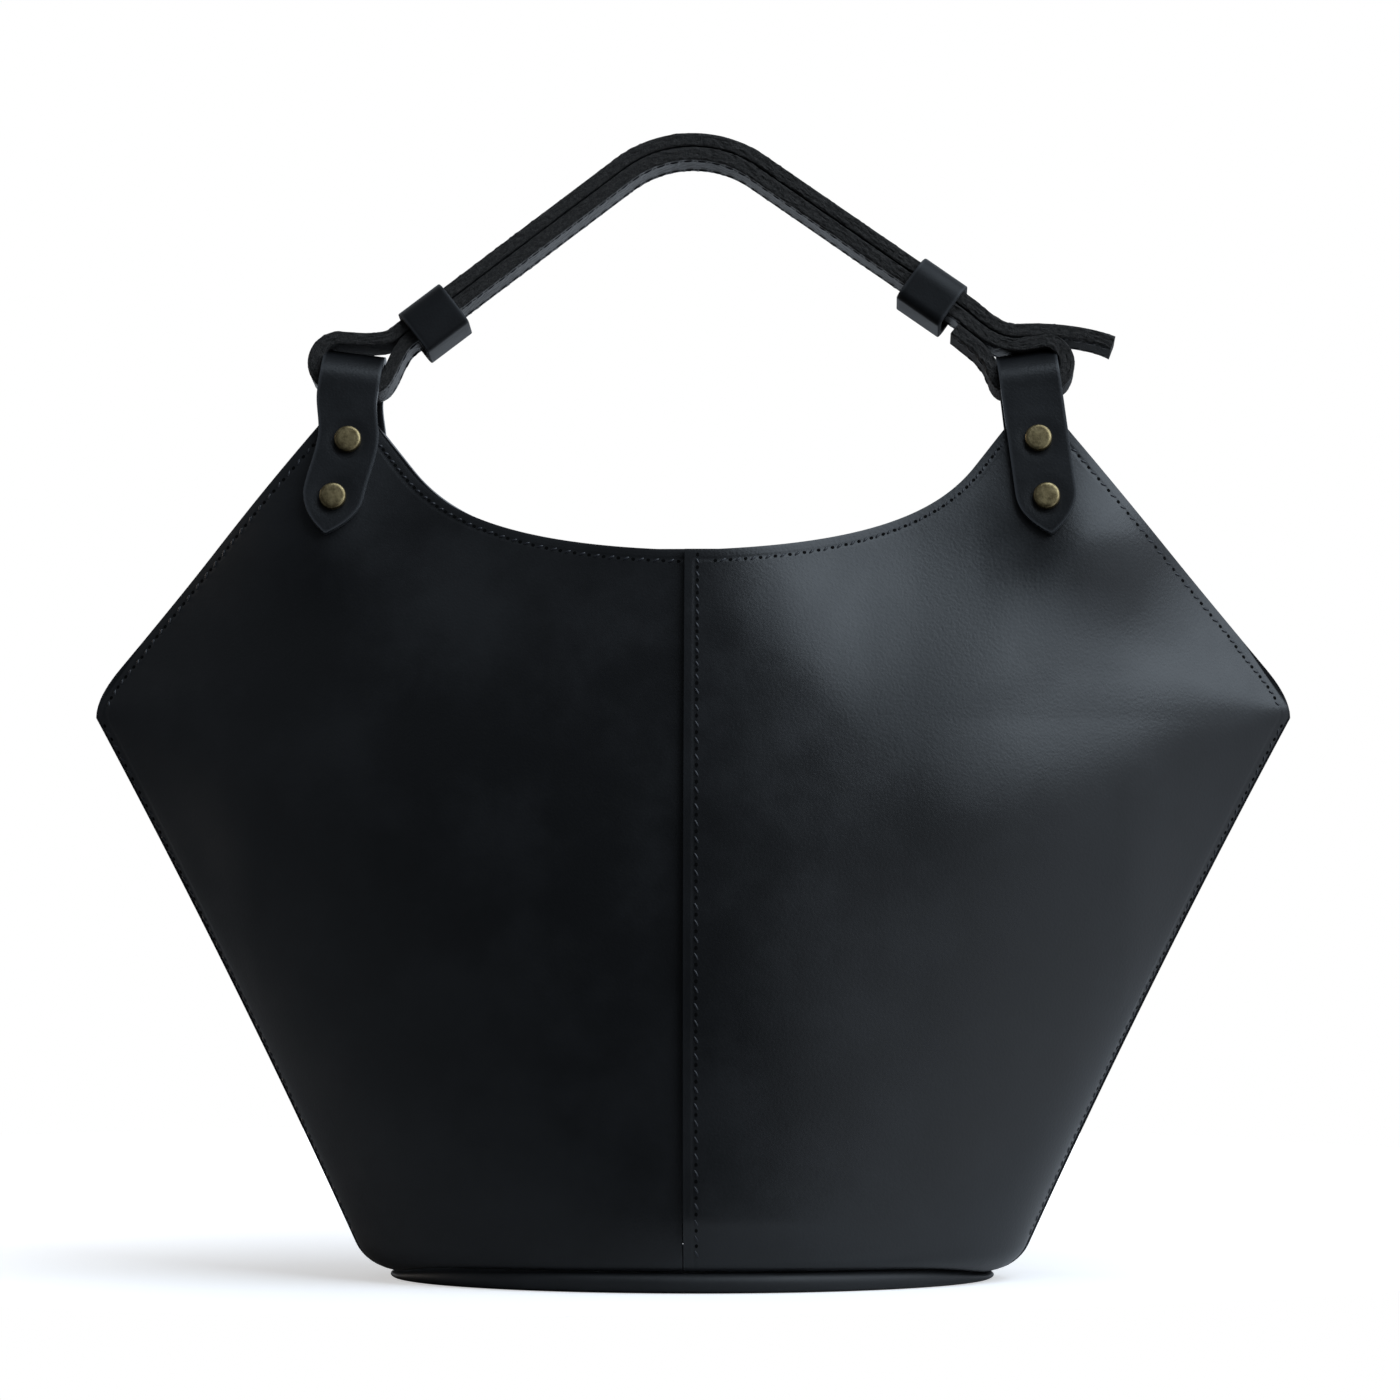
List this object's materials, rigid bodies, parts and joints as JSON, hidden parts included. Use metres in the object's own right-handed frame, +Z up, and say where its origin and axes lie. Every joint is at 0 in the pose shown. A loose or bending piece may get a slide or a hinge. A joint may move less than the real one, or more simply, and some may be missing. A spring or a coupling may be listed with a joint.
{
  "type": "leather bucket handbag",
  "caption": "Wide leather bucket bag with lapped centre seams, flared side corners, a scooped mouth and a doubled strap handle held by riveted tabs and sliding keepers.",
  "frame": {"origin": "on the floor under the middle of the bag, at the centre of its base", "axes": "+X to the bag's right side seam as seen from the front, along its width; +Y to the back; +Z up"},
  "size_m": [0.358, 0.121, 0.3429],
  "materials": {
    "panel_leather": "matte black full grain with a waxy sheen",
    "base_leather": "matte black full grain",
    "tab_leather": "matte black full grain with bare cut edges",
    "strap_leather": "matte black with rough cut edges",
    "keeper_leather": "matte black full grain",
    "antique_brass": "darkened antique brass, satin"
  },
  "bodies": {
    "bag": {"front_left_panel": "panel_leather", "front_right_panel": "panel_leather", "back_left_panel": "panel_leather", "back_right_panel": "panel_leather", "base_panel": "base_leather", "left_handle_tab": "tab_leather", "right_handle_tab": "tab_leather", "left_front_upper_rivet_post_cap": "antique_brass", "left_front_upper_rivet_inner_cap": "antique_brass", "left_front_lower_rivet_post_cap": "antique_brass", "left_front_lower_rivet_inner_cap": "antique_brass", "left_back_upper_rivet_post_cap": "antique_brass", "left_back_upper_rivet_inner_cap": "antique_brass", "left_back_lower_rivet_post_cap": "antique_brass", "left_back_lower_rivet_inner_cap": "antique_brass", "right_front_upper_rivet_post_cap": "antique_brass", "right_front_upper_rivet_inner_cap": "antique_brass", "right_front_lower_rivet_post_cap": "antique_brass", "right_front_lower_rivet_inner_cap": "antique_brass", "right_back_upper_rivet_post_cap": "antique_brass", "right_back_upper_rivet_inner_cap": "antique_brass", "right_back_lower_rivet_post_cap": "antique_brass", "right_back_lower_rivet_inner_cap": "antique_brass"},
    "handle": {"handle_strap": "strap_leather"},
    "left_keeper": {"left_keeper": "keeper_leather"},
    "right_keeper": {"right_keeper": "keeper_leather"}
  },
  "joints": [
    {"name": "handle_swing", "type": "hinge", "parent": "bag", "child": "handle", "pos_m": [0, 0, 0.265], "axis": [1, 0, 0], "range_deg": [-63, 79]},
    {"name": "left_keeper_slide", "type": "slide", "parent": "handle", "child": "left_keeper", "axis": [0.7913, 0.0851, 0.6054], "range_m": [0, 0.044]},
    {"name": "right_keeper_slide", "type": "slide", "parent": "handle", "child": "right_keeper", "axis": [-0.8178, 0.0801, 0.5699], "range_m": [0, 0.04]}
  ]
}
